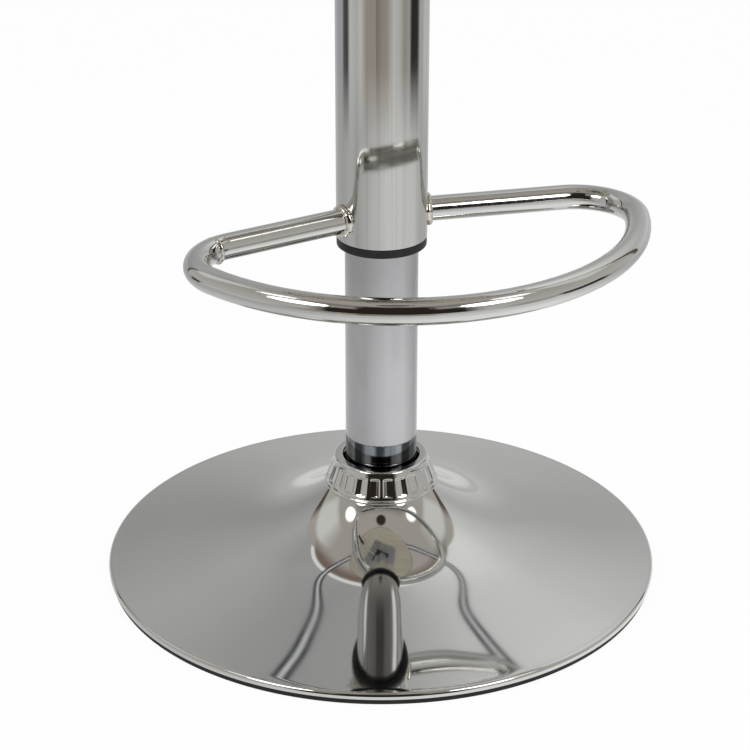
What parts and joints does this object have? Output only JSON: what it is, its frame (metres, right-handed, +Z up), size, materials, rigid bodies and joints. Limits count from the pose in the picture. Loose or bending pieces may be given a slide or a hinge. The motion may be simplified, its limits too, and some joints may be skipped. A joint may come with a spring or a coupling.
{
  "type": "counter stool",
  "caption": "Counter stool with a round flared base, gas-lift telescoping column, swivelling padded seat and D-shaped footrest.",
  "frame": {"origin": "on the floor under the column axis, at the centre of the base ring", "axes": "+Z up along the column; the front arc of the footrest faces -Y; the release lever points to -X"},
  "size_m": [0.39, 0.39, 0.745],
  "materials": {
    "chrome_plate": "bright chrome plate, polished",
    "satin_chrome": "chrome plate with a fine vertical satin grain",
    "plain_steel": "plain machined steel",
    "black_paint": "black powder coat",
    "black_rubber": "matt black rubber",
    "black_plastic": "moulded black plastic",
    "natural_plastic": "natural moulded plastic",
    "plywood": "bare plywood",
    "seat_vinyl": "cream upholstery vinyl, lightly grained"
  },
  "bodies": {
    "base": {"base_shell": "chrome_plate", "floor_ring": "black_rubber", "ballast_plate": "plain_steel", "socket_tube": "plain_steel", "trim_collar": "chrome_plate", "column_tube": "satin_chrome", "lower_race": "plain_steel", "ball_cage": "plain_steel", "guide_bush": "natural_plastic"},
    "swivel": {"upper_race": "plain_steel", "rod_buffer": "black_rubber", "piston_rod": "plain_steel", "piston": "black_plastic", "retaining_clip": "plain_steel"},
    "lift": {"gas_cylinder": "black_paint", "rod_gland": "black_plastic", "cover_tube": "satin_chrome", "sleeve_bush": "black_plastic", "footrest_hoop": "chrome_plate", "footrest_stub": "chrome_plate", "mechanism_housing": "black_paint", "pivot_pin": "plain_steel", "seat_plate": "plain_steel", "seat_screw_1": "plain_steel", "seat_screw_2": "plain_steel", "seat_screw_3": "plain_steel", "seat_screw_4": "plain_steel", "seat_board": "plywood", "seat_cushion": "seat_vinyl", "seat_band": "chrome_plate"},
    "lever": {"release_lever": "chrome_plate", "lever_grip": "black_plastic"},
    "valve": {"valve_pin": "plain_steel"}
  },
  "joints": [
    {"name": "swivel", "type": "hinge", "parent": "base", "child": "swivel", "pos_m": [0, 0, 0.0167], "axis": [0, 0, 1], "continuous": true},
    {"name": "lift", "type": "slide", "parent": "swivel", "child": "lift", "axis": [0, 0, 1], "range_m": [-0.14, 0.07]},
    {"name": "lever", "type": "hinge", "parent": "lift", "child": "lever", "pos_m": [-0.026, 0, 0.659], "axis": [0, 1, 0], "range_deg": [0, 7], "stiffness_Nm_per_rad": 2, "springref_deg": -2.86},
    {"name": "valve", "type": "slide", "parent": "lift", "child": "valve", "axis": [0, 0, 1], "range_m": [-0.0035, 0]}
  ],
  "couplings": [
    {"joint": "valve", "follows": "lever", "m_per_rad": -0.028}
  ]
}
